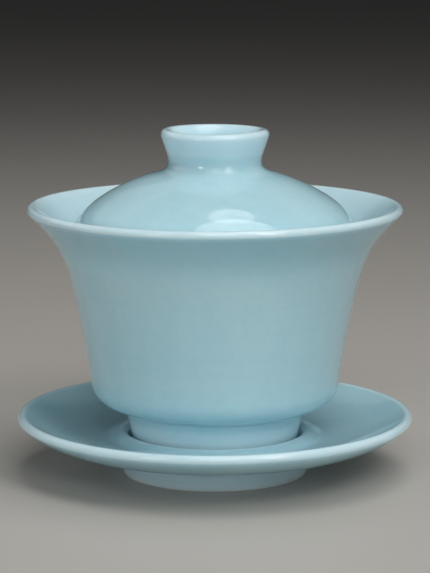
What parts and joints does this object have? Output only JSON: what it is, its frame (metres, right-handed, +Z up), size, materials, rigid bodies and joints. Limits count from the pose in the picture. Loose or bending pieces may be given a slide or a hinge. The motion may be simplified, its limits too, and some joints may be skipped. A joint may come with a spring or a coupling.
{
  "type": "gaiwan",
  "caption": "Lidded tea bowl with a flared rim, standing by its tall foot ring in the sunken well of a matching saucer; the domed lid has a hollow ring knob.",
  "frame": {"origin": "centre of the saucer's foot ring, on the table the set stands on", "axes": "+Z up along the common turning axis of saucer, cup and lid; X and Y are free, because every piece is round"},
  "size_m": [0.106, 0.106, 0.0928],
  "materials": {
    "celadon_glaze": "glossy"
  },
  "bodies": {
    "saucer": {"saucer": "celadon_glaze"},
    "cup": {"cup": "celadon_glaze"},
    "lid": {"lid": "celadon_glaze"}
  },
  "joints": [
    {"name": "cup_lift", "type": "slide", "parent": "saucer", "child": "cup", "axis": [0, 0, 1], "range_m": [0, 0.04]},
    {"name": "lid_lift", "type": "slide", "parent": "cup", "child": "lid", "axis": [0, 0, 1], "range_m": [0, 0.05]}
  ]
}
